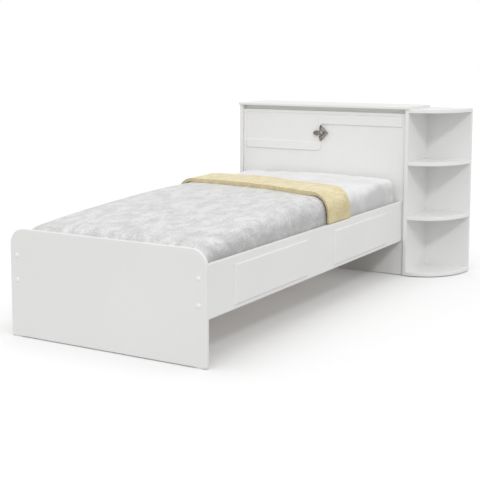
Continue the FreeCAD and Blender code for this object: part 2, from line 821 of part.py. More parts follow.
def soft_section(y, grow, drop=0.0, inset=0.0, skew=0.0):
    """Cross-section of the mattress, grown outwards; the drop and the inset shrink it at an end.

    With a skew the section's plane is turned, so its left side lies nearer the head.
    """
    half = mattress_half_width + grow - inset
    low, high = mattress_bottom, mattress_top + grow - drop
    lower = min(mattress_lower_round, (high - low) / 4)
    shoulder = min(mattress_shoulder + grow, (high - low - mattress_crown - lower) * 0.8)
    waist = half - mattress_side_draw
    edge_z = high - mattress_crown
    knee = 1 - math.sqrt(0.5)

    def v(x, z):
        return Vector(x, y - skew * x, z)

    def arc(a, b, c):
        return Part.Arc(a, b, c).toShape()

    foot_r, side_r = v(half - lower, low), v(half, low + lower)
    hip_r, top_r = v(half, edge_z - shoulder), v(half - shoulder, edge_z)
    foot_l, side_l, hip_l, top_l = (v(-p.x, p.z) for p in (foot_r, side_r, hip_r, top_r))
    mid_z = (side_r.z + hip_r.z) / 2
    return Part.Wire([
        Part.makeLine(foot_l, foot_r),
        arc(foot_r, v(half - lower * knee, low + lower * knee), side_r),
        arc(side_r, v(waist, mid_z), hip_r),
        arc(hip_r, v(half - shoulder * knee, edge_z - shoulder * knee), top_r),
        arc(top_r, v(0, high), top_l),
        arc(top_l, v(-half + shoulder * knee, edge_z - shoulder * knee), hip_l),
        arc(hip_l, v(-waist, mid_z), side_l),
        arc(side_l, v(-half + lower * knee, low + lower * knee), foot_l),
    ])


def soft_body(grow):
    """The mattress's closed form, or the same form grown by a layer of bedding."""
    def fall(y):
        share = min(max((y - mattress_foot) / mattress_fall_length, 0), 1)
        return mattress_foot_fall * (1 - share) ** 2

    def end_sections(y_end, inward):
        made = []
        for angle in (0, 45, 90):
            bend = math.radians(angle)
            y = y_end - inward * grow + inward * mattress_end_round * (1 - math.cos(bend))
            shrink = mattress_end_round * (1 - math.sin(bend))
            made.append(soft_section(y, grow, shrink + fall(y), shrink / 2))
        return made

    foot = end_sections(mattress_foot, 1)
    for share in (0.33, 0.67, 1):
        y = mattress_foot + mattress_fall_length * share
        foot.append(soft_section(y, grow, fall(y)))
    head = end_sections(mattress_head, -1)
    return Part.makeLoft(foot + head[::-1], True, True)


def cuff_zone(y0, y1, low):
    """Slab across the bed above a height, with the same skew as the cuff."""
    wide, lean = foot_width, cuff_skew * foot_width
    outline = Part.makePolygon([
        Vector(-wide, y0 + lean, low), Vector(wide, y0 - lean, low),
        Vector(wide, y1 - lean, low), Vector(-wide, y1 + lean, low), Vector(-wide, y0 + lean, low),
    ])
    return Part.Face(outline).extrude(Vector(0, 0, mattress_top + cuff_grow * 2 - low))


def soft_prism(grow):
    """Middle stretch of the grown form, long enough to cut the cuff with."""
    reach = cuff_skew * foot_width
    return Part.makeLoft([soft_section(cuff_foot_edge - reach, grow),
                          soft_section(cuff_head_edge + reach, grow)], True, True)


def mattress():
    return soft_body(0)


def blanket():
    """Blanket over the mattress, closed over its foot end and tucked inside the rails."""
    cover = soft_body(blanket_grow).cut(soft_body(soft_gap))
    end = cuff_head_edge - cuff_thickness - soft_gap
    return cover.common(cuff_zone(-foot_width, end, deck_height + blanket_tuck))


def blanket_cuff():
    """Turned-down edge in the blanket's reverse colour, rolled round the blanket's head edge."""
    roll = [(cuff_foot_edge, 0.45), (cuff_foot_edge + cuff_thickness * 0.5, 1.0),
            (cuff_head_edge - cuff_thickness, 1.0), (cuff_head_edge - cuff_thickness * 0.3, 0.7),
            (cuff_head_edge, 0.2)]
    sections = [soft_section(y, cuff_inner_grow + cuff_thickness * share, skew=cuff_skew)
                for y, share in roll]
    cover = Part.makeLoft(sections, True, True)
    end = cuff_head_edge - cuff_thickness
    under = soft_prism(cuff_inner_grow).common(
        cuff_zone(cuff_foot_edge - foot_width, end, 0))
    cover = cover.cut(under).cut(soft_prism(soft_gap))
    return cover.common(cuff_zone(-foot_width, cuff_head_edge * 2, rail_top + soft_gap))


# ---- every node and its solids ----
sides = (("left", -1), ("right", 1))
nodes = {"footboard": [footboard()], "bolt_caps": bolt_caps()}
for name, side in sides:
    nodes["rail_" + name] = [side_rail(side)]
    nodes["ledger_" + name] = [ledger(side)]
    nodes["head_side_" + name] = [head_side(side)]
    for order, (end, post) in enumerate(zip(("foot", "head"), posts(side))):
        nodes["plate_%s_%s" % (name, end)] = [rail_plate(side, order)]
        nodes["post_%s_%s" % (name, end)] = [post]
for index in range(slat_count):
    nodes["slat_%02d" % (index + 1)] = [slat(index)]
for level in range(len(shelf_tops())):
    nodes["corner_shelf_%d" % (level + 1)] = [corner_shelf(level)]
nodes.update({
    "centre_beam": [centre_beam()],
    "centre_legs": [centre_leg(i) for i in range(leg_count)],
    "connector_bolts": [connector_bolt(p, d) for p, d in foot_bolts_at + head_bolts_at],
    "barrel_nuts": barrel_nuts(foot_bolts_at + head_bolts_at),
    "rail_screws": [s for _, side in sides for group in rail_screws(side) for s in group],
    "glides": glides(),
    "upper_front_panel": [upper_front_panel()],
    "lower_front_panel": [lower_front_panel()],
    "lid_stretcher": [lid_stretcher()],
    "chest_floor": [chest_floor()],
    "chest_back": [chest_back()],
    "back_rail": [back_rail()],
    "headboard_tenons": [tenon(joint) for joint in carcass_joints],
    "raised_band": [s_band()],
    "ornament": [ornament()],
    "ornament_screw": [ornament_screw()],
    "lid": [lid()],
    "hinge_leaves_lid": hinge_leaves(True),
    "hinge_leaves_back": hinge_leaves(False),
    "hinge_pins": hinge_pins(),
    "hinge_screws_lid": hinge_screws(True),
    "hinge_screws_back": hinge_screws(False),
    "corner_back": [corner_back()],
    "corner_tenons": [tenon(joint) for joint in tower_joints],
    "mattress": [mattress()],
    "blanket": [blanket()],
    "blanket_cuff": [blanket_cuff()],
})

os.makedirs("parts", exist_ok=True)
for name, solids in sorted(nodes.items()):
    solids = [s for shape in solids for s in shape.Solids]
    shape = solids[0] if len(solids) == 1 else Part.makeCompound(solids)
    shape.translate(origin_shift)
    assert all(s.isValid() for s in solids), name
    shape.exportStep("parts/%s.step" % name)
    print("%-20s %2d solids %12.0f mm3" % (name, len(solids), shape.Volume))
print("%d nodes, origin shift %.2f %.2f" % (len(nodes), origin_shift.x, origin_shift.y))
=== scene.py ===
"""Finishes a white single bed with a chest headboard, corner shelves and a made-up mattress.

Everything is in metres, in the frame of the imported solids: X to the right seen from the foot end,
Y towards the head, Z up from the floor.
"""
import math

import bpy
from bpy.props import (
    FloatProperty, FloatVectorProperty, PointerProperty, StringProperty,
)
from mathutils import Matrix, Vector, noise


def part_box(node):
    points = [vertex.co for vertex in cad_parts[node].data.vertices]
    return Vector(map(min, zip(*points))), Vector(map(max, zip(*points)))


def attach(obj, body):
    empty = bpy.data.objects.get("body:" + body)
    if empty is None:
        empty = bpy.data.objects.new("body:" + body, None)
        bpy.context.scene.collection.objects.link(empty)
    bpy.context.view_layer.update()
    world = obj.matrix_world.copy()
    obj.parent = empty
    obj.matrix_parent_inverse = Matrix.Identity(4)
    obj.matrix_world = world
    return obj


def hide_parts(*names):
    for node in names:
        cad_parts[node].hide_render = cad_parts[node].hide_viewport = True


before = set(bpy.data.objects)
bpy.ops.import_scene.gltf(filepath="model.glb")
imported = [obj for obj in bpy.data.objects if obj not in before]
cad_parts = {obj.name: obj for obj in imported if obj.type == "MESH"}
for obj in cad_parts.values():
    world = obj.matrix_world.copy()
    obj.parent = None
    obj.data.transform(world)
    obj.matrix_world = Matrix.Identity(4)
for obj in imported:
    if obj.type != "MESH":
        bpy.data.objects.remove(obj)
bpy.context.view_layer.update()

bl_info = {
    "name": "Chest Headboard Bed",
    "version": (1, 0, 0),
    "blender": (4, 5, 0),
    "location": "View3D > Sidebar > Bed",
    "description": "Finishes and dresses a single bed with a chest headboard and corner shelves",
    "category": "Object",
}

MATTRESS_LOW, MATTRESS_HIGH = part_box("mattress")
RAIL_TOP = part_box("rail_right")[1].z
DECK_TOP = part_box("slat_01")[1].z
BED_MIDDLE = (MATTRESS_LOW.x + MATTRESS_HIGH.x) / 2
FOOT_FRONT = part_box("footboard")[0].y

# The camera of the photograph, solved from the boards' edges.
CAMERA_PLACE = (2.3657, -4.2858, 1.1699)
CAMERA_YAW = 30.421          # degrees from straight ahead, towards the bed's left side
CAMERA_PITCH = 7.012         # degrees down
CAMERA_ROLL = 0.057
IMAGE_SIDE = 480
FOCAL_PIXELS = 1048.75
CENTRE_DROP = 60             # pixels from the optical axis down to the image's middle

# Where along the mattress, from 0 at the foot to 1 at the head, its form changes.
FIRM_START = 0.72            # from here on the shoulder tightens
RISE_SPAN = (0.3, 0.8)       # over this the head end fills out
# How the creases lie: pitch in metres, and the stretch of the sheet's along the bed.
SHEET_CREASE_PITCH, SHEET_CREASE_STRETCH = 0.08, (0.7, 1.8, 0.6)
SHEET_CREASE_SHARE = 1.8     # of the common crease depth
SHEET_CREASE_LEVEL = 0.15    # of the noise, above which the sheet stays smooth
BLANKET_CREASE_PITCH = 0.055
BLANKET_CREASE_CLEAR = 0.35  # kept smooth before the blanket's head edge, under the cuff
CUFF_CREASE_PITCH = 0.05
CUFF_THINNING = (0.34, 0.45) # distance from the bed's middle over which the cuff thins
CUFF_ROUND_SHARE = 0.45      # of the cuff's thickness, for its rounded edges
# Painted shade: how far the sheet's tone is pulled darker where it faces sideways.
SHEET_SIDE_SHADE = 0.45       # how far the sheet's tone moves where it faces sideways
LAMP_AIM_HEIGHT = 0.4


# ---- colours, nodes and materials ----
def linear(hex_colour, alpha=1.0):
    """Linear RGBA of an sRGB hex colour such as "#ededec"."""
    def channel(text):
        value = int(text, 16) / 255
        return value / 12.92 if value <= 0.04045 else ((value + 0.055) / 1.055) ** 2.4
    digits = hex_colour.lstrip("#")
    return (*(channel(digits[i:i + 2]) for i in (0, 2, 4)), alpha)


def add(tree, kind, inputs=None, **settings):
    """Add a node; an input's value is a number, a colour or another node's output."""
    made = tree.nodes.new(kind)
    for name, value in settings.items():
        setattr(made, name, value)
    for name, value in (inputs or {}).items():
        if isinstance(value, bpy.types.NodeSocket):
            tree.links.new(value, made.inputs[name])
        else:
            made.inputs[name].default_value = value
    return made


def material(name, **constants):
    """New material with its shader's constants; returns it, its tree, shader and coordinates."""
    made = bpy.data.materials.new(name)
    made.use_nodes = True
    tree = made.node_tree
    shader = tree.nodes["Principled BSDF"]
    for socket, value in constants.items():
        shader.inputs[socket.replace("_", " ")].default_value = value
    place = add(tree, "ShaderNodeTexCoord").outputs["Object"]
    return made, tree, shader, place


def ramp(tree, factor, stops):
    """Colour ramp over a factor, from (position, hex colour) stops."""
    made = add(tree, "ShaderNodeValToRGB", {"Fac": factor})
    while len(made.color_ramp.elements) < len(stops):
        made.color_ramp.elements.new(0.5)
    for element, (position, colour) in zip(made.color_ramp.elements, stops):
        element.position, element.color = position, linear(colour)
    return made.outputs["Color"]


def bump(tree, shader, height, distance, strength=1.0):
    """Give the shader a bump of a height map whose full range is the distance in metres."""
    made = add(tree, "ShaderNodeBump", {"Height": height, "Distance": distance,
                                        "Strength": strength})
    tree.links.new(made.outputs["Normal"], shader.inputs["Normal"])


def stretched(tree, place, scale):
    """Coordinates scaled apart along the three axes."""
    return add(tree, "ShaderNodeMapping", {"Vector": place, "Scale": scale}).outputs["Vector"]


def lacquer(settings):
    """Fibreboard sprayed with satin white lacquer.

    To the eye it is one even white without grain, whose highlights are broad and a little wavy.
    """
    made, tree, shader, place = material("satin_white_lacquer", IOR=1.45,
                                         Specular_IOR_Level=0.35)
    drift = add(tree, "ShaderNodeTexNoise", {"Vector": place, "Scale": 3.0, "Detail": 3.0})
    tree.links.new(ramp(tree, drift.outputs["Fac"],
                        [(0.3, settings.lacquer_shade), (0.7, settings.lacquer)]),
                   shader.inputs["Base Color"])
    ripple = add(tree, "ShaderNodeTexNoise", {
        "Vector": place, "Scale": 1 / settings.ripple_size, "Detail": 2.0})
    gloss = add(tree, "ShaderNodeMapRange", {
        "Value": ripple.outputs["Fac"], "To Min": settings.lacquer_roughness - 0.04,
        "To Max": settings.lacquer_roughness + 0.05})
    tree.links.new(gloss.outputs["Result"], shader.inputs["Roughness"])
    bump(tree, shader, ripple.outputs["Fac"], settings.ripple_height)
    return made


def timber(name, pale, dark, along):
    """Planed softwood or beech, left bare.

    To the eye it is a warm matt board with growth rings drawn out along it and fine pores.
    """
    made, tree, shader, place = material(name, IOR=1.5)
    ring_pitch, length_share = 0.011, 0.06
    scale = [1.0, 1.0, 1.0]
    scale["XYZ".index(along)] = length_share
    grain = stretched(tree, place, scale)
    sway = add(tree, "ShaderNodeTexNoise", {"Vector": grain, "Scale": 9.0, "Detail": 3.0})
    rings = add(tree, "ShaderNodeTexWave", {
        "Vector": grain, "Scale": 1 / ring_pitch / 6, "Distortion": 7.0, "Detail": 2.0,
        "Detail Scale": 1.5}, wave_type="RINGS", rings_direction=along)
    pores = add(tree, "ShaderNodeTexNoise", {"Vector": grain, "Scale": 900.0, "Detail": 2.0})
    mixed = add(tree, "ShaderNodeMath", {0: rings.outputs["Fac"], 1: sway.outputs["Fac"]},
                operation="MULTIPLY")
    fine = add(tree, "ShaderNodeMath", {0: pores.outputs["Fac"], 1: 0.25, 2: mixed.outputs[0]},
               operation="MULTIPLY_ADD")
    tree.links.new(ramp(tree, fine.outputs[0], [(0.05, pale), (0.8, dark)]),
                   shader.inputs["Base Color"])
    rough = add(tree, "ShaderNodeMapRange", {"Value": pores.outputs["Fac"], "To Min": 0.5,
                                             "To Max": 0.68})
    tree.links.new(rough.outputs["Result"], shader.inputs["Roughness"])
    bump(tree, shader, pores.outputs["Fac"], 0.00015)
    return made


def plated_metal(name, pale, dark, low, high, grain_size, grain_height):
    """Plated steel or cast zinc, over a fine rolled or cast grain.

    To the eye it mirrors its surroundings softly, clouded where hands have rubbed it.
    """
    made, tree, shader, place = material(name, Metallic=1.0)
    cloud = add(tree, "ShaderNodeTexNoise", {"Vector": place, "Scale": 90.0, "Detail": 4.0})
    tree.links.new(ramp(tree, cloud.outputs["Fac"], [(0.35, dark), (0.65, pale)]),
                   shader.inputs["Base Color"])
    rough = add(tree, "ShaderNodeMapRange", {"Value": cloud.outputs["Fac"], "To Min": high,
                                             "To Max": low})
    tree.links.new(rough.outputs["Result"], shader.inputs["Roughness"])
    grain = add(tree, "ShaderNodeTexNoise", {"Vector": place, "Scale": 1 / grain_size,
                                             "Detail": 3.0})
    bump(tree, shader, grain.outputs["Fac"], grain_height)
    return made


def moulded_plastic(name, pale, dark, low, high):
    """Injection-moulded plastic with a fine spark-eroded texture.

    To the eye it is one even colour with a soft highlight.
    """
    made, tree, shader, place = material(name, IOR=1.49)
    grain = add(tree, "ShaderNodeTexNoise", {"Vector": place, "Scale": 1600.0, "Detail": 2.0})
    tree.links.new(ramp(tree, grain.outputs["Fac"], [(0.2, dark), (0.8, pale)]),
                   shader.inputs["Base Color"])
    rough = add(tree, "ShaderNodeMapRange", {"Value": grain.outputs["Fac"], "To Min": low,
                                             "To Max": high})
    tree.links.new(rough.outputs["Result"], shader.inputs["Roughness"])
    bump(tree, shader, grain.outputs["Fac"], 0.00005)
    return made


def side_shade_factor(tree, drop):
    """Painted shade: 0 where the cloth lies flat and faces up, falling to minus the drop where it
    hangs, so that its sides come out darker.
    """
    facing = add(tree, "ShaderNodeTexCoord").outputs["Normal"]
    upward = add(tree, "ShaderNodeSeparateXYZ", {"Vector": facing}).outputs["Z"]
    return add(tree, "ShaderNodeMapRange", {"Value": upward, "To Min": -drop,
                                            "To Max": 0.0}).outputs["Result"]


def cotton(settings):
    """Combed cotton sheeting: matt, with a fine plain weave.

    Its tone on the mattress's sides is painted darker than the lamps alone make it, to match
    the photograph. This is painted shade; what it comes from there isn't known.
    """
    made, tree, shader, place = material("cotton_sheeting", Roughness=0.85, IOR=1.45,
                                         Sheen_Weight=0.5, Sheen_Roughness=0.4)
    drift = add(tree, "ShaderNodeTexNoise", {"Vector": place, "Scale": 6.0, "Detail": 4.0})
    # Painted shade: where the sheet faces sideways its tone is pulled towards the side colour.
    painted_sheet_shade = side_shade_factor(tree, SHEET_SIDE_SHADE)
    tone = add(tree, "ShaderNodeMath", {0: drift.outputs["Fac"], 1: painted_sheet_shade})
    tree.links.new(ramp(tree, tone.outputs[0],
                        [(0.05, settings.sheet_side_shade), (0.4, settings.sheet_shade),
                         (0.7, settings.sheet)]),
                   shader.inputs["Base Color"])
    # The threads lie 0.35 mm apart and are drawn at 1.2 mm, which is as fine as the render shows.
    heights = []
    for direction in "XY":
        heights.append(add(tree, "ShaderNodeTexWave", {
            "Vector": place, "Scale": 2 * math.pi / settings.thread_pitch / 20, "Distortion": 0.6,
            "Detail": 1.0}, bands_direction=direction).outputs["Fac"])
    weave = add(tree, "ShaderNodeMath", {0: heights[0], 1: heights[1]}, operation="MULTIPLY")
    bump(tree, shader, weave.outputs[0], 0.00012)
    return made


def plush(name, pale, middle, dark, settings):
    """Brushed plush: a short soft pile whose nap lies in patches, so its tone is clouded.

    Where the cloth hangs its tone is painted darker than the lamps alone make it, to match the
    photograph. This is painted shade; the photograph doesn't show a cause for it.
    """
    made, tree, shader, place = material(name, Roughness=0.95, IOR=1.4, Sheen_Weight=1.0,
                                         Sheen_Roughness=0.3, Sheen_Tint=linear(pale))
    warp = add(tree, "ShaderNodeTexNoise", {"Vector": place, "Scale": 5.0, "Detail": 2.0})
    bent = add(tree, "ShaderNodeVectorMath", {0: warp.outputs["Color"], 1: (0.12, 0.12, 0.12),
                                              2: place}, operation="MULTIPLY_ADD")
    nap = add(tree, "ShaderNodeTexNoise", {
        "Vector": stretched(tree, bent.outputs["Vector"], (1.0, 0.55, 1.0)),
        "Scale": 1 / settings.nap_patch, "Detail": 6.0, "Roughness": 0.62})
    tufts = add(tree, "ShaderNodeTexNoise", {"Vector": place, "Scale": 1 / settings.tuft_size,
                                             "Detail": 3.0, "Roughness": 0.7})
    # Random nap clouds, plus painted shade: where the cloth faces sideways its tone is pulled
    # towards the dark colour.
    nap_and_painted_shade = add(tree, "ShaderNodeMath", {0: nap.outputs["Fac"],
                                         1: side_shade_factor(tree, settings.side_shade_depth)})
    tone = add(tree, "ShaderNodeMath", {0: tufts.outputs["Fac"], 1: 0.8, 2: nap_and_painted_shade.outputs[0]},
               operation="MULTIPLY_ADD")
    tree.links.new(ramp(tree, tone.outputs[0], [(0.5, dark), (0.9, middle), (1.0, pale)]),
                   shader.inputs["Base Color"])
    bump(tree, shader, tufts.outputs["Fac"], settings.pile_height, 0.6)
    return made


def dress(nodes, finish):
    """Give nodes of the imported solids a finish."""
    for name in nodes:
        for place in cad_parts[name].material_slots:
            place.material = finish


# ---- modelling helpers ----
def start_object(name):
    """Name the new active object and leave nothing else selected."""
    made = bpy.context.active_object
    made.name = made.data.name = name
    bpy.ops.object.transform_apply(location=True, rotation=True, scale=True)
    return made


def deselect():
    bpy.ops.object.select_all(action="DESELECT")


def subdivide_along(piece, axis, cuts):
    """Cut loops across every edge that runs along an axis."""
    bpy.ops.object.mode_set(mode="EDIT")
    bpy.ops.mesh.select_mode(type="EDGE")
    bpy.ops.mesh.select_all(action="DESELECT")
    bpy.ops.object.mode_set(mode="OBJECT")
    for edge in piece.data.edges:
        a, b = (piece.data.vertices[i].co for i in edge.vertices)
        edge.select = abs((b - a)[axis]) > 0.9 * (b - a).length
    bpy.ops.object.mode_set(mode="EDIT")
    bpy.ops.mesh.subdivide(number_cuts=cuts)
    bpy.ops.object.mode_set(mode="OBJECT")


def finish_piece(piece, body, finish, smooth=True):
    """Give a new piece its material and its body."""
    piece.data.materials.clear()
    piece.data.materials.append(finish)
    if smooth:
        piece.data.shade_smooth()
    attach(piece, body)


def apply_modifier(piece, kind, **settings):
    """Add a modifier with its settings and apply it."""
    made = piece.modifiers.new(kind.lower(), kind)
    for name, value in settings.items():
        setattr(made, name, value)
    bpy.context.view_layer.objects.active = piece
    bpy.ops.object.modifier_apply(modifier=made.name)


def smoothstep(value, low=0.0, high=1.0):
    share = min(max((value - low) / (high - low), 0.0), 1.0)
    return share * share * (3 - 2 * share)


# ---- the form of the made bed ----
def ripple(p, seed, pitch, stretch=(1, 1, 1)):
    """Smooth noise from -1 to 1 with its own pitch, drawn out along some axes."""
    place = Vector(p[i] / stretch[i] for i in range(3)) / pitch
    return noise.noise(place + Vector((seed, seed * 1.7, seed * 2.3)))


def lie(p, settings):
    """How far the bedding lies above or below its even form: padding that has been slept on."""
    broad = ripple(p, 3, settings.hollow_pitch, (0.8, 1.3, 1))
    return settings.hollow_depth * broad


def made_bed_point(p, grow, settings):
    """Place on the mattress's form, grown outwards, of a point on the surface of its plain box."""
    middle = (MATTRESS_LOW + MATTRESS_HIGH) / 2
    half = (MATTRESS_HIGH - MATTRESS_LOW) / 2 + Vector((grow, grow, grow / 2))
    half.z -= settings.crown / 2
    middle.z += (grow - settings.crown) / 2
    local = p - middle
    height = (local.z / half.z + 1) / 2
    along = (local.y / half.y + 1) / 2
    low = settings.lower_round
    firm = smoothstep(along, FIRM_START, 1.0)
    high = settings.foot_shoulder + (settings.head_shoulder - settings.foot_shoulder) * firm + grow
    plan = low + (high - low) * smoothstep(height)
    reach = Vector((plan, plan, high if local.z > 0 else low))
    inner = Vector(min(max(local[i], reach[i] - half[i]), half[i] - reach[i]) for i in range(3))
    out = Vector((local[i] - inner[i]) / reach[i] for i in range(3))
    if out.length > 0:
        out.normalize()
    made = inner + Vector(out[i] * reach[i] for i in range(3))
    height = (made.z / half.z + 1) / 2
    across = made.x / half.x
    drawn = settings.side_draw * 4 * height * (1 - height) * smoothstep(abs(across), 0.8, 1.0)
    made.x -= math.copysign(drawn, made.x)
    made.z += settings.crown * (1 - across ** 2) * smoothstep(height, 0.5, 1.0)
    made.z += settings.head_rise * smoothstep(along, *RISE_SPAN) * max(height, 0)
    made.z += lie(middle + made, settings) * smoothstep(height, 0.6, 1.0)
    from_foot = (made.y + half.y) / settings.foot_fall_length
    made.z -= settings.foot_fall * (1 - min(from_foot, 1)) ** 2 * max(height, 0)
    return middle + made


def box_grid(name, grow, settings):
    """The mattress's plain box as a closed grid, grown outwards."""
    deselect()
    size = MATTRESS_HIGH - MATTRESS_LOW + Vector((2 * grow, 2 * grow, grow))
    size.z -= settings.crown
    centre = (MATTRESS_LOW + MATTRESS_HIGH) / 2
    centre.z += (grow - settings.crown) / 2
    bpy.ops.mesh.primitive_cube_add(size=1, location=centre, scale=size)
    piece = start_object(name)
    for axis in range(3):
        subdivide_along(piece, axis, round(size[axis] / settings.mesh_pitch) - 1)
    return piece


def uneven(piece, chosen, rise):
    """Move chosen vertices out along their normals by a function of their place."""
    moves = {v.index: rise(v.co) * v.normal for v in piece.data.vertices if chosen(v)}
    for index, move in moves.items():
        piece.data.vertices[index].co += move


def keep_part(piece, point, normal):
    """Cut the piece with a plane and keep the side that the normal points away from."""
    deselect()
    piece.select_set(True)
    bpy.context.view_layer.objects.active = piece
    bpy.ops.object.mode_set(mode="EDIT")
    bpy.ops.mesh.select_all(action="SELECT")
    bpy.ops.mesh.bisect(plane_co=point, plane_no=normal, clear_outer=True)
    bpy.ops.object.mode_set(mode="OBJECT")


# ---- settings that a user would change ----
class BoardSettings(bpy.types.PropertyGroup):
    lacquer: StringProperty(name="Lacquer", description="Colour of the white lacquer",
                            default="#ebebea")
    lacquer_shade: StringProperty(name="Lacquer shade", description="Its slightly darker drift",
                                  default="#e8e8e7")
    lacquer_roughness: FloatProperty(name="Roughness", description="Gloss of the lacquer",
                                     default=0.38, min=0.05, max=1.0)
    ripple_size: FloatProperty(name="Ripple size", description="Pitch of the sprayed ripple",
                               default=0.004, unit="LENGTH")
    ripple_height: FloatProperty(name="Ripple height", description="Depth of the sprayed ripple",
                                 default=0.00003, unit="LENGTH")
    pine: StringProperty(name="Pine", description="Pale wood between the rings",
                         default="#e2cfad")
    pine_ring: StringProperty(name="Pine rings", description="Late wood of the rings",
                              default="#bb9a6e")
    beech: StringProperty(name="Beech", description="Colour of the tenons", default="#d3ab83")
    beech_ring: StringProperty(name="Beech rings", description="Darker figure of the tenons",
                               default="#b1845c")


class BeddingSettings(bpy.types.PropertyGroup):
    mesh_pitch: FloatProperty(name="Mesh pitch", description="Edge length of the soft meshes",
                              default=0.014, unit="LENGTH")
    crown: FloatProperty(name="Crown", description="Rise of the mattress's middle",
                         default=0.012, unit="LENGTH")
    foot_shoulder: FloatProperty(name="Foot shoulder", description="Rounding at the foot end",
                                 default=0.070, unit="LENGTH")
    head_shoulder: FloatProperty(name="Head shoulder", description="Rounding at the head end",
                                 default=0.040, unit="LENGTH")
    head_rise: FloatProperty(name="Head rise", description="How much fuller the head end is",
                             default=0.010, unit="LENGTH")
    hollow_pitch: FloatProperty(name="Hollow pitch", description="From one soft hollow to the next",
                                default=0.28, unit="LENGTH")
    hollow_depth: FloatProperty(name="Hollow depth", description="Depth of the soft hollows",
                                default=0.003, unit="LENGTH")
    lower_round: FloatProperty(name="Lower rounding", description="Rounding of the lower edges",
                               default=0.022, unit="LENGTH")
    side_draw: FloatProperty(name="Side draw", description="How far the sides are drawn in",
                             default=0.009, unit="LENGTH")
    foot_fall: FloatProperty(name="Foot fall", description="How far the foot end is pressed down",
                             default=0.057, unit="LENGTH")
    foot_fall_length: FloatProperty(name="Foot fall length", description="Where the fall starts",
                                    default=1.050, unit="LENGTH")
    blanket_thickness: FloatProperty(name="Blanket", description="Thickness of the blanket",
                                     default=0.0065, unit="LENGTH")
    cuff_thickness: FloatProperty(name="Cuff", description="Thickness of the turned-down edge",
                                  default=0.020, unit="LENGTH")
    cuff_side: FloatProperty(name="Cuff side", description="Its thickness where it hangs",
                             default=0.009, unit="LENGTH")
    soft_gap: FloatProperty(name="Gap", description="Room between two layers", default=0.0006,
                            unit="LENGTH")
    tuck: FloatProperty(name="Tuck", description="From the slats to the tucked edge",
                        default=0.020, unit="LENGTH")
    cuff_foot_edge: FloatProperty(name="Cuff foot edge", description="From the footboard's face",
                                  default=1.134, unit="LENGTH")
    cuff_head_edge: FloatProperty(name="Cuff head edge", description="From the footboard's face",
                                  default=1.370, unit="LENGTH")
    crease_depth: FloatProperty(name="Crease depth", description="Depth of the small creases",
                                default=0.003, unit="LENGTH")
    cuff_skew: FloatProperty(name="Skew", description="Slant of the turned-down edge",
                             default=0.19)
    thread_pitch: FloatProperty(name="Thread pitch", description="Drawn pitch of the weave",
                                default=0.0012, unit="LENGTH")
    nap_patch: FloatProperty(name="Nap patch", description="Size of the clouds in the pile",
                             default=0.045, unit="LENGTH")
    # Painted shade: how far the tone moves towards the dark colour where the cloth faces sideways.
    side_shade_depth: FloatProperty(name="Nap fall", description="How much darker the pile is on the sides",
                            default=0.36)
    tuft_size: FloatProperty(name="Tuft size", description="Size of the pile's tufts",
                             default=0.009, unit="LENGTH")
    pile_height: FloatProperty(name="Pile", description="Height of the pile", default=0.0022,
                               unit="LENGTH")
    sheet: StringProperty(name="Sheet", description="Colour of the sheet", default="#f2f2f3")
    sheet_shade: StringProperty(name="Sheet shade", description="Its slightly darker drift",
                                default="#e9e9ea")
    # Painted shade: the sheet's colour where it faces sideways.
    sheet_side_shade: StringProperty(name="Sheet side", description="Tone on the mattress's sides",
                               default="#c8c8c9")
    blanket_pale: StringProperty(name="Blanket light", description="Nap that catches the light",
                                 default="#e6e6e6")
    blanket_middle: StringProperty(name="Blanket", description="Middle tone of the blanket",
                                   default="#d8d8d8")
    # Also the colour of the painted shade where the blanket faces sideways.
    blanket_dark: StringProperty(name="Blanket dark", description="Nap that lies away",
                                 default="#b6b6b6")
    cuff_pale: StringProperty(name="Cuff light", description="Nap that catches the light",
                              default="#f4eacb")
    cuff_middle: StringProperty(name="Cuff", description="Middle tone of the cuff",
                                default="#e9ddb6")
    # Also the colour of the painted shade where the cuff faces sideways.
    cuff_dark: StringProperty(name="Cuff dark", description="Nap that lies away",
                              default="#cdbf96")


class StageSettings(bpy.types.PropertyGroup):
    floor: StringProperty(name="Floor", description="Colour of the floor as seen",
                          default="#e6e6e6")
    floor_size: FloatProperty(name="Floor size", description="Side of the floor", default=40.0,
                              unit="LENGTH")
    floor_bounce: StringProperty(name="Floor bounce", description="Tone of the floor's own light",
                                 default="#c8c8c8")
    floor_glow: FloatProperty(name="Floor glow", description="White added to the floor as seen",
                              default=0.20)
    # Painted shade: how far from the bed the floor's added white is darkened.
    shade_reach: FloatProperty(name="Shade reach", description="How far the glow fades",
                               default=0.3, unit="LENGTH")
    sky: FloatProperty(name="Sky", description="Strength of the even light", default=0.80)
    key_strength: FloatProperty(name="Key", description="Strength of the key light", default=0.70)
    key_spread: FloatProperty(name="Key spread", description="Angle over which the key spreads",
                              default=math.radians(8), subtype="ANGLE")
    key_place: FloatVectorProperty(name="Key place", description="Where the key light comes from",
                                   default=(2.54, -3.02, 3.33), unit="LENGTH")
    top_strength: FloatProperty(name="Top light", description="Strength of the overhead light",
                                default=0.37)
    top_spread: FloatProperty(name="Top spread", description="Angle over which it spreads",
                              default=math.radians(40), subtype="ANGLE")
    top_place: FloatVectorProperty(name="Top place", description="Where the overhead light is",
                                   default=(0.78, -2.15, 5.0), unit="LENGTH")


# ---- operators ----
BOARDS = ["footboard", "rail_left", "rail_right", "head_side_left", "head_side_right",
          "corner_back", "upper_front_panel", "lower_front_panel", "lid", "raised_band",
          "chest_back", "chest_floor", "lid_stretcher", "back_rail"]
BOARDS += [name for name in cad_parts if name.startswith(("plate_", "corner_shelf_"))]


class BED_OT_boards(bpy.types.Operator):
    """Lacquer the boards"""
    bl_idname = "bed.boards"
    bl_label = "Boards"

    def execute(self, context):
        dress(BOARDS, lacquer(context.scene.bed_boards))
        return {"FINISHED"}


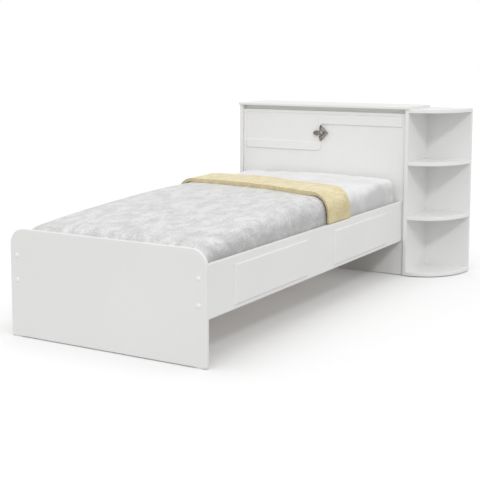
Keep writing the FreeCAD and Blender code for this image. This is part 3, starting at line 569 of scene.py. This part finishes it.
class BED_OT_timber(bpy.types.Operator):
    """Give the slats, bearers, posts and tenons their wood"""
    bl_idname = "bed.timber"
    bl_label = "Timber"

    def execute(self, context):
        settings = context.scene.bed_boards
        pine = (settings.pine, settings.pine_ring)
        across = timber("planed_pine_across", *pine, "X")
        lengthwise = timber("planed_pine_lengthwise", *pine, "Y")
        upright = timber("planed_pine_upright", *pine, "Z")
        tenons = timber("planed_beech", settings.beech, settings.beech_ring, "X")
        dress([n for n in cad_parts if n.startswith("slat_")], across)
        dress(["ledger_left", "ledger_right", "centre_beam"], lengthwise)
        dress([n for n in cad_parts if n.startswith("post_")] + ["centre_legs"], upright)
        dress(["headboard_tenons", "corner_tenons"], tenons)
        return {"FINISHED"}


class BED_OT_fittings(bpy.types.Operator):
    """Give the fasteners, hinges, caps, glides and ornament their metal and plastic"""
    bl_idname = "bed.fittings"
    bl_label = "Fittings"

    def execute(self, context):
        zinc = plated_metal("bright_zinc_plate", "#c9cbcc", "#aeb1b3", 0.25, 0.4, 0.0006, 0.00002)
        nickel = plated_metal("satin_nickel_plate", "#c6c2ba", "#aba79f", 0.22, 0.36, 0.0005,
                              0.00001)
        # Cast zinc with a rubbed antique silver plate: dark in the hollows, brighter where rubbed.
        silver = plated_metal("antique_silver_casting", "#a6a29b", "#5c5751", 0.25, 0.48, 0.0012,
                              0.00006)
        dress(["connector_bolts", "barrel_nuts", "rail_screws", "ornament_screw",
               "hinge_screws_lid", "hinge_screws_back"], zinc)
        dress(["hinge_leaves_lid", "hinge_leaves_back", "hinge_pins"], nickel)
        dress(["ornament"], silver)
        dress(["bolt_caps"], moulded_plastic("white_polyethylene", "#f4f4f3", "#eeeeed", 0.3, 0.4))
        dress(["glides"], moulded_plastic("pale_nylon", "#e4e4e2", "#d8d8d6", 0.45, 0.6))
        return {"FINISHED"}


class BED_OT_mattress(bpy.types.Operator):
    """Model the mattress in its fitted sheet"""
    bl_idname = "bed.mattress"
    bl_label = "Mattress"

    def execute(self, context):
        settings = context.scene.bed_bedding
        piece = box_grid("sheeted_mattress", 0.0, settings)
        for vertex in piece.data.vertices:
            vertex.co = made_bed_point(vertex.co, 0.0, settings)
        depth = SHEET_CREASE_SHARE * settings.crease_depth
        uneven(piece, lambda v: v.co.y > self.pillow_end(settings), lambda p: min(
            0, depth * (ripple(p, 8, SHEET_CREASE_PITCH, SHEET_CREASE_STRETCH)
                        - SHEET_CREASE_LEVEL)))
        finish_piece(piece, "bed", cotton(settings))
        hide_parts("mattress")
        return {"FINISHED"}

    def pillow_end(self, settings):
        """Where the sheet shows: past the blanket's head edge, whose left end lies furthest on."""
        reach = settings.cuff_skew * (MATTRESS_HIGH.x - MATTRESS_LOW.x) / 2
        return FOOT_FRONT + settings.cuff_head_edge - reach


class BED_OT_blanket(bpy.types.Operator):
    """Lay the blanket over the mattress and tuck it in"""
    bl_idname = "bed.blanket"
    bl_label = "Blanket"

    def execute(self, context):
        settings = context.scene.bed_bedding
        grow = settings.soft_gap
        piece = box_grid("plush_blanket", grow, settings)
        for vertex in piece.data.vertices:
            vertex.co = made_bed_point(vertex.co, grow, settings)
        end = FOOT_FRONT + settings.cuff_head_edge - settings.cuff_thickness
        keep_part(piece, (BED_MIDDLE, end, 0), Vector((settings.cuff_skew, 1, 0)).normalized())
        keep_part(piece, (0, 0, DECK_TOP + settings.tuck), (0, 0, -1))
        inside = len(piece.data.vertices)
        apply_modifier(piece, "SOLIDIFY", thickness=settings.blanket_thickness, offset=1.0,
                       use_even_offset=True)
        uneven(piece, lambda v: v.index >= inside and v.co.y < end - BLANKET_CREASE_CLEAR,
               lambda p: settings.crease_depth * (ripple(p, 5, BLANKET_CREASE_PITCH) ** 2))
        finish_piece(piece, "bed",
                     plush("grey_brushed_plush", settings.blanket_pale, settings.blanket_middle,
                           settings.blanket_dark, settings))
        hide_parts("blanket")
        return {"FINISHED"}


class BED_OT_cuff(bpy.types.Operator):
    """Turn the blanket's head edge down to show its reverse"""
    bl_idname = "bed.cuff"
    bl_label = "Turned-down edge"

    def execute(self, context):
        settings = context.scene.bed_bedding
        grow = 2 * settings.soft_gap + settings.blanket_thickness
        piece = box_grid("plush_cuff", grow, settings)
        for vertex in piece.data.vertices:
            vertex.co = made_bed_point(vertex.co, grow, settings)
        slant = Vector((settings.cuff_skew, 1, 0)).normalized()
        keep_part(piece, (BED_MIDDLE, FOOT_FRONT + settings.cuff_head_edge, 0), slant)
        keep_part(piece, (BED_MIDDLE, FOOT_FRONT + settings.cuff_foot_edge, 0), -slant)
        keep_part(piece, (0, 0, RAIL_TOP + settings.soft_gap), (0, 0, -1))
        inside = len(piece.data.vertices)
        apply_modifier(piece, "SOLIDIFY", thickness=settings.cuff_thickness, offset=1.0,
                       use_even_offset=True)
        slack = settings.cuff_thickness - settings.cuff_side
        uneven(piece, lambda v: v.index >= inside,
               lambda p: -settings.crease_depth * abs(ripple(p, 6, CUFF_CREASE_PITCH))
               - slack * smoothstep(abs(p.x - BED_MIDDLE), *CUFF_THINNING))
        apply_modifier(piece, "BEVEL", width=settings.cuff_thickness * CUFF_ROUND_SHARE, segments=4,
                       limit_method="ANGLE", angle_limit=math.radians(60))
        finish_piece(piece, "bed",
                     plush("cream_brushed_plush", settings.cuff_pale, settings.cuff_middle,
                           settings.cuff_dark, settings))
        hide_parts("blanket_cuff")
        return {"FINISHED"}


class BED_OT_stage(bpy.types.Operator):
    """Lay the floor, hang the lamps and set up the camera"""
    bl_idname = "bed.stage"
    bl_label = "Stage"

    def execute(self, context):
        settings = context.scene.bed_stage
        self.lay_floor(settings)
        self.light(context, settings)
        self.set_camera(context)
        context.scene.view_settings.view_transform = "Standard"
        return {"FINISHED"}

    def lay_floor(self, settings):
        """A matt white floor that the camera sees as white wherever no shadow falls."""
        deselect()
        bpy.ops.mesh.primitive_plane_add(size=settings.floor_size, location=(0, 0, 0))
        floor = start_object("floor")
        made, tree, shader, place = material("white_floor", Roughness=0.9)
        seen = self.seen_directly(tree)
        tone = add(tree, "ShaderNodeMix", {"Factor": seen}, data_type="RGBA")
        sockets = {socket.identifier: socket for socket in (*tone.inputs, *tone.outputs)}
        sockets["A_Color"].default_value = linear(settings.floor_bounce)
        sockets["B_Color"].default_value = linear(settings.floor)
        tree.links.new(sockets["Result_Color"], shader.inputs["Base Color"])
        # Painted shade: the white that the camera sees fades where the bed stands close over the
        # floor, darkening the floor under and around it.
        open_sky = add(tree, "ShaderNodeAmbientOcclusion", {"Distance": settings.shade_reach},
                       samples=8)
        white = add(tree, "ShaderNodeMath", {0: open_sky.outputs["AO"], 1: settings.floor_glow},
                    operation="MULTIPLY")
        glow = add(tree, "ShaderNodeMath", {0: seen, 1: white.outputs[0]}, operation="MULTIPLY")
        shader.inputs["Emission Color"].default_value = (1, 1, 1, 1)
        tree.links.new(glow.outputs[0], shader.inputs["Emission Strength"])
        floor.data.materials.append(made)

    def seen_directly(self, tree):
        """1 for what the camera sees, straight or in a mirror, and 0 for what lights the bed."""
        path = add(tree, "ShaderNodeLightPath").outputs
        mirrored = add(tree, "ShaderNodeMath", {0: path["Is Glossy Ray"],
                                                1: path["Is Transmission Ray"]},
                       operation="MAXIMUM")
        return add(tree, "ShaderNodeMath", {0: path["Is Camera Ray"], 1: mirrored.outputs[0]},
                   operation="MAXIMUM").outputs[0]

    def light(self, context, settings):
        """Even light from all round, a key light from the front on the right, and one overhead."""
        world = bpy.data.worlds.new("even_light")
        world.use_nodes = True
        tree = world.node_tree
        strength = add(tree, "ShaderNodeMapRange", {
            "Value": self.seen_directly(tree), "To Min": settings.sky, "To Max": 1.0})
        back = tree.nodes["Background"]
        back.inputs["Color"].default_value = (1, 1, 1, 1)
        tree.links.new(strength.outputs["Result"], back.inputs["Strength"])
        context.scene.world = world
        self.hang_lamp("key_light", settings.key_place, settings.key_strength,
                       settings.key_spread)
        self.hang_lamp("top_light", settings.top_place, settings.top_strength,
                       settings.top_spread)

    def hang_lamp(self, name, place, strength, spread):
        """A distant lamp that shines from its place to the bed's middle."""
        deselect()
        bpy.ops.object.light_add(type="SUN", location=place)
        lamp = bpy.context.active_object
        lamp.name = name
        lamp.data.energy, lamp.data.angle = strength, spread
        aim = Vector((BED_MIDDLE, 0, LAMP_AIM_HEIGHT)) - Vector(place)
        lamp.rotation_euler = aim.to_track_quat("-Z", "Y").to_euler()

    def set_camera(self, context):
        deselect()
        bpy.ops.object.camera_add(location=CAMERA_PLACE)
        camera = bpy.context.active_object
        yaw, pitch, roll = (math.radians(a) for a in (CAMERA_YAW, CAMERA_PITCH, CAMERA_ROLL))
        ahead = Vector((-math.sin(yaw) * math.cos(pitch), math.cos(yaw) * math.cos(pitch),
                        -math.sin(pitch)))
        level = Vector((math.cos(yaw), math.sin(yaw), 0))
        upright = level.cross(ahead)
        right = level * math.cos(roll) + upright * math.sin(roll)
        up = right.cross(ahead)
        camera.rotation_euler = Matrix((right, up, -ahead)).transposed().to_euler()
        camera.data.lens = FOCAL_PIXELS / IMAGE_SIDE * camera.data.sensor_width
        camera.data.shift_y = -CENTRE_DROP / IMAGE_SIDE
        camera.data.clip_end = 100
        context.scene.camera = camera


OPERATORS = [BED_OT_boards, BED_OT_timber, BED_OT_fittings, BED_OT_mattress, BED_OT_blanket,
             BED_OT_cuff, BED_OT_stage]
SETTINGS = {"bed_boards": BoardSettings, "bed_bedding": BeddingSettings,
            "bed_stage": StageSettings}


class BED_PT_panel(bpy.types.Panel):
    """Sizes, colours and pieces of the bed"""
    bl_idname = "BED_PT_panel"
    bl_label = "Bed"
    bl_space_type = "VIEW_3D"
    bl_region_type = "UI"
    bl_category = "Bed"

    def draw(self, context):
        for operator in OPERATORS:
            self.layout.operator(operator.bl_idname)
        for name, group in SETTINGS.items():
            box = self.layout.box()
            for setting in group.__annotations__:
                box.prop(getattr(context.scene, name), setting)


def register():
    for group in (*SETTINGS.values(), *OPERATORS, BED_PT_panel):
        bpy.utils.register_class(group)
    for name, group in SETTINGS.items():
        setattr(bpy.types.Scene, name, PointerProperty(type=group))


def unregister():
    for name in SETTINGS:
        delattr(bpy.types.Scene, name)
    for group in (BED_PT_panel, *reversed(OPERATORS), *SETTINGS.values()):
        bpy.utils.unregister_class(group)


def main():
    register()
    for operator in OPERATORS:
        area, name = operator.bl_idname.split(".")
        getattr(getattr(bpy.ops, area), name)()


if __name__ == "__main__":
    main()
